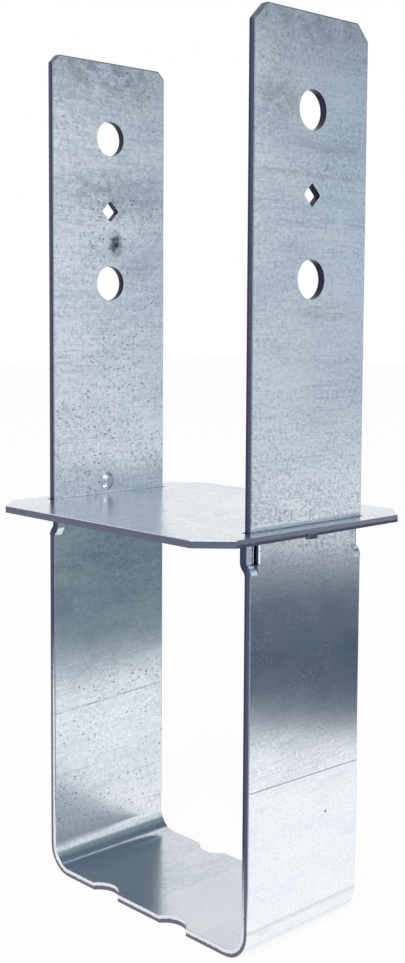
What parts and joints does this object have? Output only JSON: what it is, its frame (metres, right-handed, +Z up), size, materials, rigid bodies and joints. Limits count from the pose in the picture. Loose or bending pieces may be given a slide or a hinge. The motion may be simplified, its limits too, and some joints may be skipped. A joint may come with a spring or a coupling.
{
  "type": "timber post base",
  "caption": "Galvanised steel U-strap cast into concrete, with a slotted bearing plate seated on lanced tabs, that carries and bolts the foot of a timber post.",
  "frame": {"origin": "middle of the strap's flat underside, which is the lowest face of the part", "axes": "+X from the short leg to the full-height leg, square to both; +Y along the strap's width; +Z up, along the legs"},
  "size_m": [0.1668, 0.1396, 0.4324],
  "materials": {
    "strap_galvanised": "mill-galvanised, mottled grey with sheared edges",
    "plate_galvanised": "mill-galvanised, bright with sheared edges"
  },
  "bodies": {
    "root": {"strap": "strap_galvanised", "bearing_plate": "plate_galvanised"}
  },
  "joints": []
}
